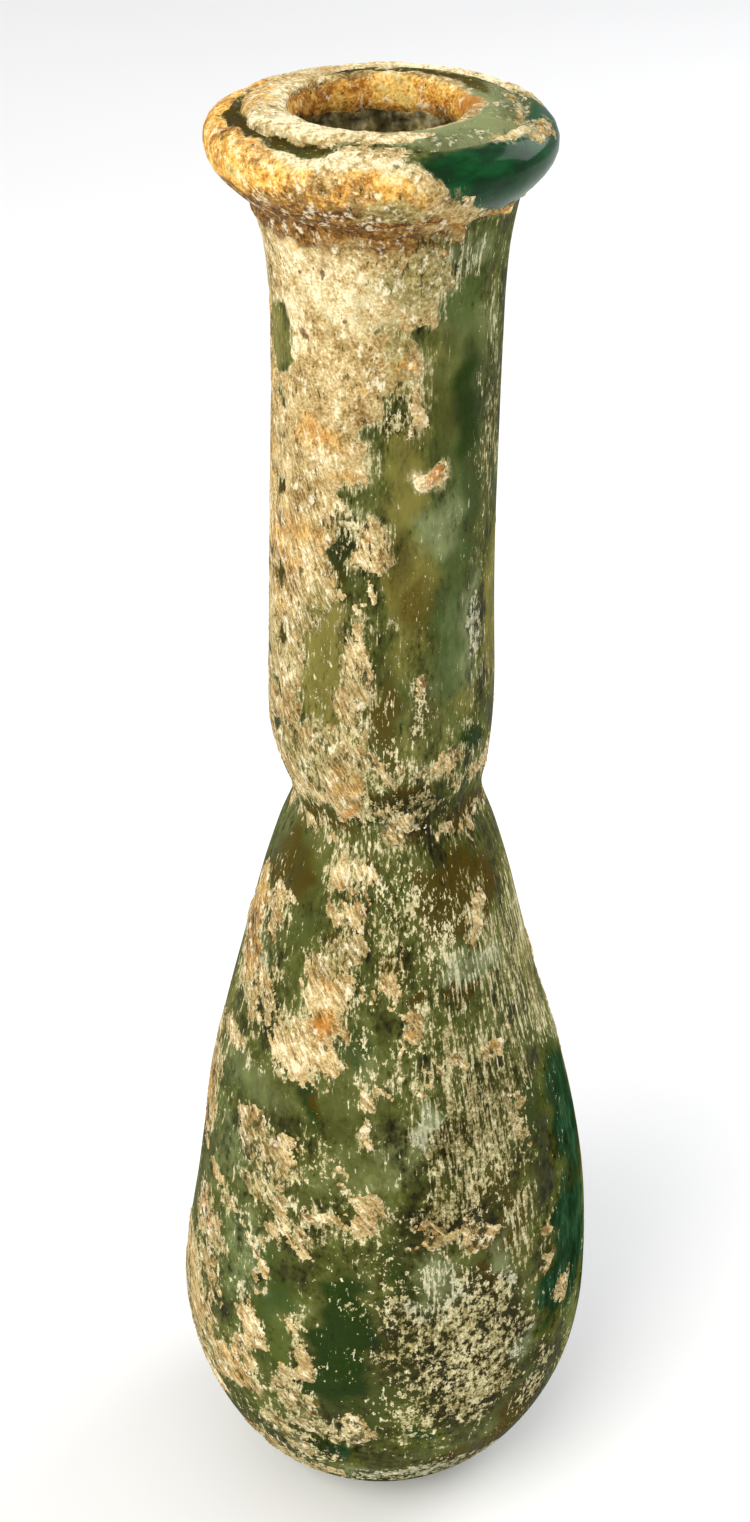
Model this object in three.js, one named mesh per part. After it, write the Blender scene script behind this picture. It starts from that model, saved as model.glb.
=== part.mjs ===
// A small Roman perfume bottle (unguentarium) of free-blown glass, in millimetres, +Z up.
//
// One gather of glass was blown into a pear-shaped body, drawn out into a long tubular neck, nipped
// with pincers where the two meet, and finished with an everted rim whose edge is folded over on
// itself. The bottle is hollow and stands on a ring left by pushing up the middle of its base.
// The origin is under the middle of the body, on the surface that the bottle stands on.
import * as THREE from "three";

// Driving dimensions.
const HEIGHT = 125;
const BODY_RADIUS = 18.15;
const BODY_WIDEST_AT = 18.5;
const THROAT_RADIUS = 7.5;
const THROAT_AT = 71.3;
const NECK_RADIUS = 8.05;
const RIM_RADIUS = 11.8;
const RIM_WIDEST_AT = HEIGHT - 2.3;
const MOUTH_RADIUS = 6;
const SEGMENTS = 56;

// The wall: thin in the body and the neck, thicker at the nipped throat and in the floor.
const WALL = 1.6;
const THROAT_WALL = 1.8;
const THROAT_WALL_FROM = 60;
const FLOOR = 2.4;
const FLOOR_UP_TO = 12;

// The base: a resting ring round a shallow kick.
const FOOT_INNER_RADIUS = 4.9;
const FOOT_OUTER_RADIUS = 8.2;
const KICK_HEIGHT = 0.8;

// The rim's top: a level lip round the mouth, then a narrow seam where the fold closes.
const LIP_INNER_RADIUS = 6.8;
const LIP_OUTER_RADIUS = 8.4;
const SEAM_RADIUS = 9.6;
const SEAM_HALF_WIDTH = 0.35;
const SEAM_DEPTH = 0.3;

// The blower's hand shows: sideways drift of the centre line along +X, as [height, drift].
const CENTRE_LINE = [
  [0, -0.4],
  [BODY_WIDEST_AT, 0],
  [31, 0.48],
  [54, 0],
  [THROAT_AT, 0.05],
  [77, -0.4],
  [114, 0],
  [HEIGHT, -0.35],
];
// The mouth sits a little off the middle of the rim.
const MOUTH_DRIFT = -0.45;
const MOUTH_DRIFT_FROM = HEIGHT - 14;

// A smooth run of `count` points through [radius, height] stations.
function run(stations, count) {
  const curve = new THREE.CatmullRomCurve3(
    stations.map(([radius, height]) => new THREE.Vector3(radius, height, 0)),
    false,
    "centripetal",
  );
  return curve.getSpacedPoints(count - 1).map((p) => new THREE.Vector2(p.x, p.y));
}

// Runs joined end to end, with the point that two neighbours share kept once.
function joined(...runs) {
  return runs.flatMap((points, i) => (i === 0 ? points : points.slice(1)));
}

function baseOutline() {
  const kick = run(
    [
      [0, KICK_HEIGHT],
      [FOOT_INNER_RADIUS * 0.6, KICK_HEIGHT * 0.6],
      [FOOT_INNER_RADIUS, 0],
    ],
    4,
  );
  return joined(kick, [kick.at(-1), new THREE.Vector2(FOOT_OUTER_RADIUS, 0)]);
}

function bodyOutline() {
  return run(
    [
      [FOOT_OUTER_RADIUS, 0],
      [11.3, 2.3],
      [14.6, 6.2],
      [17.15, 11.9],
      [BODY_RADIUS, BODY_WIDEST_AT],
      [17.25, 29.2],
      [15.1, 42.2],
      [12.2, 54],
      [9.75, 64.2],
      [8.3, 68.9],
      [THROAT_RADIUS, THROAT_AT],
    ],
    19,
  );
}

function neckOutline() {
  return run(
    [
      [THROAT_RADIUS, THROAT_AT],
      [7.95, 73.4],
      [8.5, 77],
      [8.6, 80.5],
      [8.35, 88],
      [NECK_RADIUS + 0.05, 99],
      [NECK_RADIUS, 109],
      [8.35, 115.4],
      [9.25, 119.3],
    ],
    15,
  );
}

// Up the outside of the roll, over its shoulder to the fold's seam, and on to the lip.
function rimOutline() {
  const roll = run(
    [
      [9.25, 119.3],
      [10.4, 120.4],
      [11.4, 121.5],
      [RIM_RADIUS, RIM_WIDEST_AT],
      [11.5, HEIGHT - 1.35],
      [10.8, HEIGHT - 0.75],
      [SEAM_RADIUS + SEAM_HALF_WIDTH, HEIGHT - 0.42],
    ],
    10,
  );
  const seam = [
    roll.at(-1),
    new THREE.Vector2(SEAM_RADIUS, HEIGHT - 0.38 - SEAM_DEPTH),
    new THREE.Vector2(SEAM_RADIUS - SEAM_HALF_WIDTH, HEIGHT - 0.27),
  ];
  const lip = [
    seam.at(-1),
    new THREE.Vector2(LIP_OUTER_RADIUS, HEIGHT),
    new THREE.Vector2(LIP_INNER_RADIUS, HEIGHT),
  ];
  return joined(roll, seam, lip);
}

// Round the lip's inner edge and down the bore to the throat.
function boreOutline() {
  const mouth = run(
    [
      [LIP_INNER_RADIUS, HEIGHT],
      [MOUTH_RADIUS + 0.2, HEIGHT - 0.5],
      [MOUTH_RADIUS, HEIGHT - 1.8],
    ],
    4,
  );
  const bore = run(
    [
      [MOUTH_RADIUS, HEIGHT - 1.8],
      [6.3, 117],
      [NECK_RADIUS - WALL, 106],
      [NECK_RADIUS - WALL, 94],
      [6.85, 80],
      [6.5, 75.4],
      [THROAT_RADIUS - THROAT_WALL, THROAT_AT],
    ],
    12,
  );
  return joined(mouth, bore);
}

function blend(from, to, value) {
  return THREE.MathUtils.smoothstep(value, from, to);
}

function wallAt(height) {
  const lower = THREE.MathUtils.lerp(FLOOR, WALL, blend(0, FLOOR_UP_TO, height));
  return THREE.MathUtils.lerp(lower, THROAT_WALL, blend(THROAT_WALL_FROM, THROAT_AT, height));
}

// The inside of the body follows its outside, a wall's thickness in, from the throat down.
function cavityOutline() {
  const outside = joined(baseOutline(), bodyOutline());
  const inside = outside.map((point, i) => {
    const before = outside[Math.max(i - 1, 0)];
    const after = outside[Math.min(i + 1, outside.length - 1)];
    const along = after.clone().sub(before).normalize();
    const inward = new THREE.Vector2(-along.y, along.x);
    return point.clone().addScaledVector(inward, wallAt(point.y));
  });
  inside.at(-1).set(THROAT_RADIUS - THROAT_WALL, THROAT_AT);
  return inside.reverse();
}

function drift(height) {
  const next = CENTRE_LINE.findIndex(([at]) => at >= height);
  if (next <= 0) return CENTRE_LINE.at(next)[1];
  const [low, from] = CENTRE_LINE[next - 1];
  const [high, to] = CENTRE_LINE[next];
  return THREE.MathUtils.lerp(from, to, blend(low, high, height));
}

function bottleGeometry() {
  const outside = joined(baseOutline(), bodyOutline(), neckOutline(), rimOutline());
  const outline = joined(outside, boreOutline(), cavityOutline());
  outline[0].x = 0;
  outline.at(-1).x = 0;
  const geometry = new THREE.LatheGeometry(outline, SEGMENTS);
  const position = geometry.getAttribute("position");
  for (let i = 0; i < position.count; i++) {
    const height = position.getY(i);
    const inside = i % outline.length >= outside.length;
    const offCentre = inside ? MOUTH_DRIFT * blend(MOUTH_DRIFT_FROM, HEIGHT, height) : 0;
    position.setX(i, position.getX(i) + drift(height) + offCentre);
  }
  // The lathe turns about Y, and the bottle stands along Z.
  geometry.rotateX(Math.PI / 2);
  return geometry;
}

const glass = new THREE.MeshStandardMaterial({
  color: 0x3f5a34,
  roughness: 0.35,
  metalness: 0,
});

const bottle = new THREE.Mesh(bottleGeometry(), glass);
bottle.name = "bottle";

const unguentarium = new THREE.Group();
unguentarium.add(bottle);

export default unguentarium;
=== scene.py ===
"""A small Roman perfume bottle of blown green glass, weathered and crusted with earth.

The glass is one piece. Three shells of earth crust lie on it and ride with it.
In the tables below lengths are millimetres and angles degrees. Azimuth 0 is the side that faces
the camera, and azimuths grow to its right.
"""

import math

import bmesh
import bpy
import numpy as np
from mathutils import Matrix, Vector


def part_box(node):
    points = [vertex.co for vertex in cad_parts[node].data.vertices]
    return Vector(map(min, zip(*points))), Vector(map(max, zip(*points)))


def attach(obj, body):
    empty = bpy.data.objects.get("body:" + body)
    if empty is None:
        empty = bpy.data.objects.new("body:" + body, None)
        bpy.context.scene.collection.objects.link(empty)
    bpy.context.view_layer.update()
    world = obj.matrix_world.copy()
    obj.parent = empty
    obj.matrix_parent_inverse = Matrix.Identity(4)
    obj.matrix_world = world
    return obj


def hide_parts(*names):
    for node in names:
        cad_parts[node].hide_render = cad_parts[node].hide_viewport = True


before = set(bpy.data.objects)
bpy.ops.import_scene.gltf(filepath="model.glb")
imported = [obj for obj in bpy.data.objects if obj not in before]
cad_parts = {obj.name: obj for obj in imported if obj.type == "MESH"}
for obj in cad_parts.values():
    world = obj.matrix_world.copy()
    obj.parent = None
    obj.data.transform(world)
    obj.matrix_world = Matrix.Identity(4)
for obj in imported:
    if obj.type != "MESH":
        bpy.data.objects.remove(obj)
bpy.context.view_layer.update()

# ---------------------------------------------------------------------------------------------
# The blown wall. One gather was blown, drawn out and folded at the rim, so one outline makes it
# all. It is read off the solid ring by ring: from the middle of the base round the outside, over
# the rim and down the inside to the floor of the hollow. Every later piece follows this wall.
# ---------------------------------------------------------------------------------------------
MM = 0.001
RIM_ROOT = 119.3


class Wire:
    """A value on its way through a node tree. Sums on wires add the Math nodes that do them."""

    def __init__(self, socket):
        self.socket = socket
        self.tree = socket.id_data

    @classmethod
    def node(cls, tree, kind, settings=None, sockets=None, output=0):
        """Adds a node, with its settings and then the values or wires of its sockets."""
        made = tree.nodes.new(kind)
        for name, value in (settings or {}).items():
            if name == "stops":
                made.color_ramp.elements[0].position, made.color_ramp.elements[0].color = value[0]
                made.color_ramp.elements[1].position, made.color_ramp.elements[1].color = value[-1]
                for position, colour in value[1:-1]:
                    made.color_ramp.elements.new(position).color = colour
            else:
                setattr(made, name, value)
        for key, value in (sockets or {}).items():
            if isinstance(value, Wire):
                tree.links.new(value.socket, made.inputs[key])
            else:
                made.inputs[key].default_value = value
        return cls(made.outputs[output]) if made.outputs else made

    def also(self, output):
        """Another output of the node that this wire leaves."""
        return Wire(self.socket.node.outputs[output])

    def sum(self, operation, first, second):
        return Wire.node(self.tree, "ShaderNodeMath", {"operation": operation}, {0: first, 1: second})

    def __add__(self, other):
        return self.sum("ADD", self, other)

    __radd__ = __add__

    def __sub__(self, other):
        return self.sum("SUBTRACT", self, other)

    def __rsub__(self, other):
        return self.sum("SUBTRACT", other, self)

    def __mul__(self, other):
        return self.sum("MULTIPLY", self, other)

    __rmul__ = __mul__

    def at_least(self, other):
        return self.sum("MAXIMUM", self, other)

    def at_most(self, other):
        return self.sum("MINIMUM", self, other)

    def rise(self, low, high):
        """Eases from 0 at `low` to 1 at `high`."""
        settings = {"interpolation_type": "SMOOTHSTEP"}
        return Wire.node(self.tree, "ShaderNodeMapRange", settings, {0: self, 1: low, 2: high})

    def of(self, operation):
        """A function of one value, such as its sine."""
        return self.sum(operation, self, 0)

    def times(self, factors):
        """A vector wire stretched by three factors."""
        return Wire.node(self.tree, "ShaderNodeVectorMath", {"operation": "MULTIPLY"}, {0: self, 1: factors})

    def scaled(self, factor):
        """A vector wire made longer or shorter by a number."""
        settings = {"operation": "SCALE"}
        return Wire.node(self.tree, "ShaderNodeVectorMath", settings, {0: self, "Scale": factor})


def combined(x, y, z=0.0):
    """A vector wire from three values."""
    return Wire.node(x.tree, "ShaderNodeCombineXYZ", sockets={0: x, 1: y, 2: z})


def grain(place, per_mm, detail=2.0, roughness=0.5, stretch=(1, 1, 1), seed=0.0):
    """Smooth noise about 0.5, with about `per_mm` lumps in a millimetre."""
    scaled = place.times(tuple(s / MM for s in stretch))
    sockets = {"Vector": scaled, "W": seed, "Scale": per_mm, "Detail": detail, "Roughness": roughness}
    return Wire.node(place.tree, "ShaderNodeTexNoise", {"noise_dimensions": "4D"}, sockets)


def rings_of(solid):
    """The lathed solid's rings in order, as rows of radius, sideways drift and height, in metres."""
    form = bmesh.new()
    form.from_mesh(solid.data)
    bmesh.ops.remove_doubles(form, verts=form.verts, dist=1e-7)
    ring = {min((v for v in form.verts if v.co.xy.length < MM), key=lambda v: v.co.z)}
    rows, seen = [], set(ring)
    while ring:
        places = np.array([v.co for v in ring])
        drift = places[:, 0].mean()
        radius = np.hypot(places[:, 0] - drift, places[:, 1]).mean()
        rows.append((radius, drift, places[:, 2].mean()))
        ring = {e.other_vert(v) for v in ring for e in v.link_edges} - seen
        seen |= ring
    form.free()
    return np.array(rows)


def outline_curve(rows):
    """The outline as a curve: X is the radius, Y the drift and Z the height."""
    curve = bpy.data.curves.new("outline", "CURVE")
    curve.dimensions = "3D"
    line = curve.splines.new("POLY")
    line.points.add(len(rows) - 1)
    line.points.foreach_set("co", np.hstack([rows, np.ones((len(rows), 1))]).ravel())
    return bpy.data.objects.new("outline", curve)


def tree_with(name, inputs):
    """A geometry tree with named inputs, and the wires that they come in on."""
    tree = bpy.data.node_groups.new(name, "GeometryNodeTree")
    for label, kind in inputs.items():
        tree.interface.new_socket(label, in_out="INPUT", socket_type="NodeSocket" + kind)
    tree.interface.new_socket("Geometry", in_out="OUTPUT", socket_type="NodeSocketGeometry")
    entry = tree.nodes.new("NodeGroupInput")
    return tree, {label: Wire(entry.outputs[label]) for label in inputs}


def finished(tree, geometry, material):
    """Ends a geometry tree: instances made real, and the finish put on."""
    real = Wire.node(tree, "GeometryNodeRealizeInstances", sockets={0: geometry})
    worn = Wire.node(tree, "GeometryNodeSetMaterial", sockets={"Geometry": real, "Material": material})
    Wire.node(tree, "NodeGroupOutput", sockets={"Geometry": worn})


def grown(name, tree, values, base=None):
    """The mesh that a tree makes from these inputs, as a plain object of that name."""
    piece = bpy.data.objects.new(name, base or bpy.data.meshes.new(name))
    bpy.context.scene.collection.objects.link(piece)
    modifier = piece.modifiers.new(tree.name, "NODES")
    modifier.node_group = tree
    for socket in tree.interface.items_tree:
        if socket.in_out == "INPUT" and socket.name in values:
            modifier[socket.identifier] = values[socket.name]
    bpy.context.view_layer.update()
    made = bpy.data.meshes.new_from_object(piece.evaluated_get(bpy.context.evaluated_depsgraph_get()))
    piece.modifiers.remove(modifier)
    piece.data = made
    made.name = name
    return piece


def store(geometry, name, value, kind="FLOAT", domain="POINT"):
    """Keeps a value on the mesh under a name, for a finish or a later tree to read."""
    settings = {"data_type": kind, "domain": domain}
    sockets = {"Geometry": geometry, "Name": name, "Value": value}
    return Wire.node(geometry.tree, "GeometryNodeStoreNamedAttribute", settings, sockets)


# How the wall lies on its map, which leaves a strip at the foot for the backs of the crust's shells.
MAP_WIDTH = 0.996
MAP_HEIGHT = 0.776
MAP_FOOT = 0.222
BACK_SCALE = (1, 0.25, 1)
BACK_SHIFT = (0, -0.05, 0)
# The level of the jacks' marks, how far they reach, and the foot that keeps still, in millimetres.
FLATS_AT = 82
FLATS_REACH = 14
STILL_FOOT = 8


def lathe_tree():
    """Turns a stretch of the outline about the bottle's axis, with the waves of blowing and tooling."""
    tree, given = tree_with(
        "blown wall",
        {"Outline": "Object", "From": "Float", "To": "Float", "Rows": "Int", "Columns": "Int",
         "Wave": "Float", "Finish": "Material"},
    )
    line = Wire.node(tree, "GeometryNodeObjectInfo", sockets={"Object": given["Outline"]}, output="Geometry")
    line = Wire.node(tree, "GeometryNodeCurveSplineType", {"spline_type": "CATMULL_ROM"}, {"Curve": line})
    size = {0: 1.0, 1: 1.0, "Vertices X": given["Columns"] + 1, "Vertices Y": given["Rows"]}
    sheet = Wire.node(tree, "GeometryNodeMeshGrid", sockets=size)
    place = Wire.node(tree, "GeometryNodeInputPosition")
    across = Wire.node(tree, "ShaderNodeSeparateXYZ", sockets={0: place})
    along = across.also("Y") + 0.5
    share = given["From"] + along * (given["To"] - given["From"])
    # Kept on the faces' corners, so that the map stays whole where the sheet closes on itself.
    laid_out = combined(across * MAP_WIDTH + 0.5, along * MAP_HEIGHT + MAP_FOOT)
    sheet = store(sheet, "OFBake", laid_out, "FLOAT2", "CORNER")
    sheet = store(sheet, "azimuth", across * 360)
    turn = across * (2 * math.pi)
    sockets = {"Curves": line, "Factor": share}
    point = Wire.node(tree, "GeometryNodeSampleCurve", {"mode": "FACTOR"}, sockets, "Position")
    length = Wire.node(tree, "GeometryNodeCurveLength", sockets={0: line})
    sheet = store(sheet, "run", share * length)
    radius = Wire.node(tree, "ShaderNodeSeparateXYZ", sockets={0: point})
    height = radius.also("Z").at_least(0)
    # Three-lobed and two-lobed waves climb the wall, and five flats round the lower neck are the
    # marks of the jacks.
    climb = height * (1 / MM)
    two = climb * 0.11 + turn * 2
    three = climb * 0.17 - turn * 3
    flats = turn * 5 + 0.6
    near_flats = 1 - (climb - FLATS_AT).of("ABSOLUTE").rise(0, FLATS_REACH)
    wave = two.of("SINE") * 0.5 + three.of("SINE") * 0.4 + flats.of("SINE") * near_flats
    wave = wave * climb.rise(0, STILL_FOOT) * given["Wave"]
    reach = radius + wave * radius.rise(0, 6 * MM)
    place = combined(radius.also("Y") + reach * turn.of("SINE"), reach * turn.of("COSINE") * -1, height)
    turned = Wire.node(tree, "GeometryNodeSetPosition", sockets={"Geometry": sheet, "Position": place})
    closed = Wire.node(tree, "GeometryNodeMergeByDistance", sockets={"Geometry": turned, "Distance": 1e-6})
    smooth = Wire.node(tree, "GeometryNodeSetShadeSmooth", sockets={"Geometry": closed})
    finished(tree, smooth, given["Finish"])
    return tree


rings = rings_of(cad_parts["bottle"])
ring_runs = np.concatenate([[0], np.cumsum(np.linalg.norm(np.diff(rings, axis=0), axis=1))])
rim_root_run = ring_runs[np.argmax(rings[:, 2] > (RIM_ROOT - 0.05) * MM)]
outline = outline_curve(rings)
lathe = lathe_tree()


def share_at(level):
    """How far along the outline a level lies, from 0 to 1."""
    rising = slice(rings[:, 2].argmin() + 1, np.argmax(rings[:, 2] > (RIM_ROOT - 0.05) * MM) + 1)
    run = np.interp(level * MM, rings[rising, 2], ring_runs[rising])
    return (run + max(0, level - RIM_ROOT) * MM) / ring_runs[-1]


def turned_wall(name, low, high, rows, columns, finish=None):
    """The wall between two levels. Levels are heights up to the rim's root, and from there on the way
    along the wall, over the roll and into the mouth."""
    values = {"Outline": outline, "From": low, "To": high, "Rows": rows, "Columns": columns, "Wave": WAVE}
    return grown(name, lathe, values | {"Finish": finish} if finish else values)


def readings(mesh):
    """Azimuth, level and radius at every vertex, in degrees and millimetres. The wall unrolled is kept
    on the mesh as "skin", and turned more with height as "slant", so that streaks run along it."""
    place = np.empty(len(mesh.vertices) * 3, np.float32)
    mesh.vertices.foreach_get("co", place)
    x, y, z = place.reshape(-1, 3).T / MM
    run = np.empty(len(mesh.vertices), np.float32)
    mesh.attributes["run"].data.foreach_get("value", run)
    x = x - np.interp(run, ring_runs, rings[:, 1]) / MM
    turn = np.arctan2(x, -y)
    over = (run - rim_root_run) / MM
    level = np.where(over < 0, z, RIM_ROOT + over)
    reach = np.hypot(x, y)
    spread = SKIN_RADIUS + np.clip(over / 4, 0, 1) * (reach * MM - SKIN_RADIUS)
    skin = np.stack([spread * np.sin(turn), -spread * np.cos(turn), level * MM], 1)
    slanted = turn + level * math.tan(math.radians(SLANT)) * MM / SKIN_RADIUS
    slant = np.stack([spread * np.sin(slanted), -spread * np.cos(slanted), level * MM], 1)
    for label, vectors in (("skin", skin), ("slant", slant)):
        layer = mesh.attributes.new(label, "FLOAT_VECTOR", "POINT")
        layer.data.foreach_set("vector", vectors.astype(np.float32).ravel())
    return np.degrees(turn), level, reach


def keep(mesh, name, values):
    mesh.attributes.new(name, "FLOAT", "POINT").data.foreach_set("value", values.astype(np.float32))


def wandering(azimuth, level):
    """Moves places about by a millimetre or less, so that patches lose their even outlines."""
    around = np.radians(azimuth)
    drift = 2.0 * np.sin(level * 1.1 + 3 * np.sin(around * 2)) + 1.5 * np.sin(level * 2.3 + around * 7)
    lift = 0.35 * np.sin(around * 11 + level * 0.6) + 0.25 * np.sin(around * 23 - level * 1.3)
    return azimuth + drift, level + lift * np.interp(level, [118, 125, 130], [1.0, 0.5, 0.2])


# A patch's outline lies between an ellipse, at 2, and a box. Beyond a patch, depths stop at the other.
SQUARENESS = 2.6
FAR_OUTSIDE = -6.0


def depth_in(patches, azimuth, level, radius):
    """How many millimetres each point lies inside the nearest patch, below zero outside them all."""
    azimuth, level = wandering(azimuth, level)
    deepest = np.full(azimuth.shape, FAR_OUTSIDE)
    for at, up, wide, tall, lean in patches:
        across = np.radians((azimuth - at + 180) % 360 - 180) * radius
        turn = math.radians(lean)
        x = across * math.cos(turn) + (level - up) * math.sin(turn)
        y = (level - up) * math.cos(turn) - across * math.sin(turn)
        off = (np.abs(x / wide) ** SQUARENESS + np.abs(y / tall) ** SQUARENESS) ** (1 / SQUARENESS)
        deepest = np.maximum(deepest, (1 - off) * min(wide, tall))
    return deepest


def tone(spots, azimuth, level, radius):
    """A soft-edged tone: the strongest of the spots at each point."""
    azimuth, level = wandering(azimuth, level)
    strongest = np.zeros(azimuth.shape)
    for at, up, wide, tall, strength in spots:
        across = np.radians((azimuth - at + 180) % 360 - 180) * radius
        off = np.clip(np.hypot(across / wide, (level - up) / tall) / 0.9 - 0.5, 0, 1)
        strongest = np.maximum(strongest, strength * (1 - off * off * (3 - 2 * off)))
    return strongest


def cover_of(patches, holes, *places):
    """How many millimetres each point lies inside the patches and outside their holes."""
    return np.minimum(depth_in(patches, *places), HOLE_EDGE - 2 * depth_in(holes, *places))


def breakup_at(azimuth, level, radius):
    """How ragged the patches are: cleaner cut on the rim and at firm spots, and wilder at the back."""
    behind = np.clip((np.abs(azimuth) - 100) / 30, 0, 1)
    ragged = np.interp(level, list(BREAKUP), list(BREAKUP.values()))
    return ragged * (1 + 0.9 * behind) * (1 - tone(FIRM, azimuth, level, radius))


def rgb(red, green, blue):
    """A colour as it shows on a screen, from 0 to 255, made linear for a shader."""
    return (*(((c / 255 + 0.055) / 1.055) ** 2.4 if c > 10 else c / 3295 for c in (red, green, blue)), 1.0)


def mixed(factor, first, second):
    """Two colours mixed by a wire."""
    settings = {"data_type": "RGBA"}
    return Wire.node(factor.tree, "ShaderNodeMix", settings, {0: factor, 6: first, 7: second}, output=2)


def blended(factor, *stops):
    """A colour picked by a wire from a row of stops, each a position and a screen colour."""
    stops = [(position, rgb(*colour)) for position, *colour in stops]
    return Wire.node(factor.tree, "ShaderNodeValToRGB", {"stops": stops}, {"Fac": factor})


def kept(tree, name, output="Fac"):
    """A value kept on the mesh, read back in its finish."""
    return Wire.node(tree, "ShaderNodeAttribute", {"attribute_name": name}, output=output)


def finish_named(name):
    """An empty material, its tree, and where its surface is in metres."""
    material = bpy.data.materials.new(name)
    material.use_nodes = True
    tree = material.node_tree
    tree.nodes.clear()
    return material, tree, Wire.node(tree, "ShaderNodeTexCoord", output="Object")


def bumped(strength, distance, height):
    """A normal raised and lowered by a wire, by up to a distance in millimetres."""
    sockets = {"Strength": strength, "Distance": distance * MM, "Height": height}
    return Wire.node(height.tree, "ShaderNodeBump", sockets=sockets)


def surface_of(tree, sockets):
    return Wire.node(tree, "ShaderNodeBsdfPrincipled", sockets=sockets)


def between(share, first, second):
    """Two surfaces mixed by a wire."""
    return Wire.node(share.tree, "ShaderNodeMixShader", sockets={0: share, 1: first, 2: second})


def ended(tree, surface):
    Wire.node(tree, "ShaderNodeOutputMaterial", sockets={"Surface": surface})


# ---------------------------------------------------------------------------------------------
# The glass. A naturally coloured green glass that has weathered in the ground: bare and deep in a
# few places, elsewhere dulled by a milky skin, brown soil stains and a haze of fine pale specks.
# The brown tone also paints shade in the narrowing round the throat.
# The wall is solid glass about 1.6 mm thick, and the inside carries a thin film of old earth.
# ---------------------------------------------------------------------------------------------
WAVE = 0.1 * MM
SKIN_RADIUS = 12 * MM
SLANT = 32

# Crust patches as azimuth, level, half width, half height and lean. The glass shows a thin stain of
# crust round each of them, and the section after this one builds the crust itself.
RIM_CRUST = [
    (-80, 122, 21, 4.6, 0), (5, 122, 2.9, 3.9, 0), (-88, 128.9, 14, 1.5, 0), (48, 119.9, 7.4, 0.5, 0),
    (-4, 126.3, 2.6, 1.4, 0), (180, 125.6, 12.5, 2.8, 0), (58, 126.5, 2.4, 0.55, -6),
    (72, 125.6, 2, 0.6, 0), (78, 127.6, 1.6, 0.4, 8), (98, 128.4, 1.4, 0.5, 10),
    (86, 129.4, 0.8, 0.3, 0), (112, 125.4, 2.4, 0.6, 0), (180, 131.3, 14.5, 1.8, 0),
    (165, 121, 8, 1.5, 0), (4, 129, 2, 0.7, 0), (55, 130.6, 3.4, 0.3, 0),
]
RIM_HOLES = [
    (-60, 126.7, 7.6, 0.42, 0), (-80, 126.5, 1.6, 0.7, 0), (-36, 126.4, 2.4, 0.72, 0),
    (-118, 122.6, 1.6, 0.8, 0), (170, 129.5, 6.4, 0.5, 0), (112, 129.6, 3.4, 0.9, 0),
    (146, 125.4, 1.8, 0.5, 0), (150, 127.2, 1.4, 0.35, 0), (130, 122.5, 3, 1.4, 0),
]
NECK_CRUST = [
    (-50, 115.8, 11.9, 4.6, 0), (-70, 108.4, 12.5, 4.6, 0), (-77, 102.4, 9.5, 4, 0),
    (-80, 97, 8.5, 4.2, 0), (13, 106.6, 0.9, 2, 0), (-8, 96.2, 1.5, 2.6, -8), (-85, 92, 8.6, 4, 0),
    (-95, 83.5, 7.7, 8.4, 0), (-14, 82.5, 1.2, 7.4, 0), (-36, 77.2, 4.4, 4, 0), (28, 77.3, 3.2, 0.9, 2),
    (63, 75.3, 2.6, 1, 0), (17, 84.5, 0.4, 0.5, 0), (22.5, 101.2, 1.6, 0.95, 0), (3, 89.6, 0.3, 0.3, 0),
    (-20, 73.6, 0.9, 0.8, 0), (6.5, 72.2, 0.6, 1.1, 0), (-150, 106, 5, 5, 0), (-165, 101, 4, 3, 25),
    (-140, 98, 2.6, 4, -20), (-172, 108.5, 2, 1.2, 0), (176, 97, 0.9, 2.4, 10), (168, 82, 2.6, 3.2, -25),
    (-178, 86, 1.6, 3.4, 15), (158, 77, 2, 1.2, 10), (122, 112, 1.4, 3.6, 8), (131, 107.5, 1, 2.6, -12),
    (108, 78.4, 2.6, 1, -20), (118, 81, 1, 1.8, 0), (-150, 80, 4, 4, 0), (-138, 86, 1.6, 4, 12),
    (101, 92, 0.6, 2.6, 6),
]
NECK_HOLES = [
    (-70, 109.8, 1.9, 2.4, 0), (-59, 110.6, 0.6, 1.5, 10), (-62, 108.2, 0.9, 0.7, 0),
    (3, 106.2, 0.9, 1.6, 0), (-65, 91.3, 0.55, 0.95, 0), (-63, 87.2, 0.55, 0.6, 0),
    (-67, 82.5, 1, 0.75, 0), (-67, 79, 0.8, 0.5, 0), (-66, 105.7, 0.8, 0.5, 0),
    (-65.5, 98.9, 0.8, 0.75, 0), (-5, 112, 0.35, 0.25, 0), (-25, 106.4, 0.22, 0.2, 0),
    (-46, 81.5, 0.35, 0.3, 0), (-29.5, 85.8, 0.2, 0.18, 0), (-10, 88.4, 0.5, 0.2, 0),
    (-150, 90, 2.5, 2, 0), (-31, 85.5, 0.8, 4.6, 0), (-22, 95.2, 0.7, 2.4, 0),
]
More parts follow.
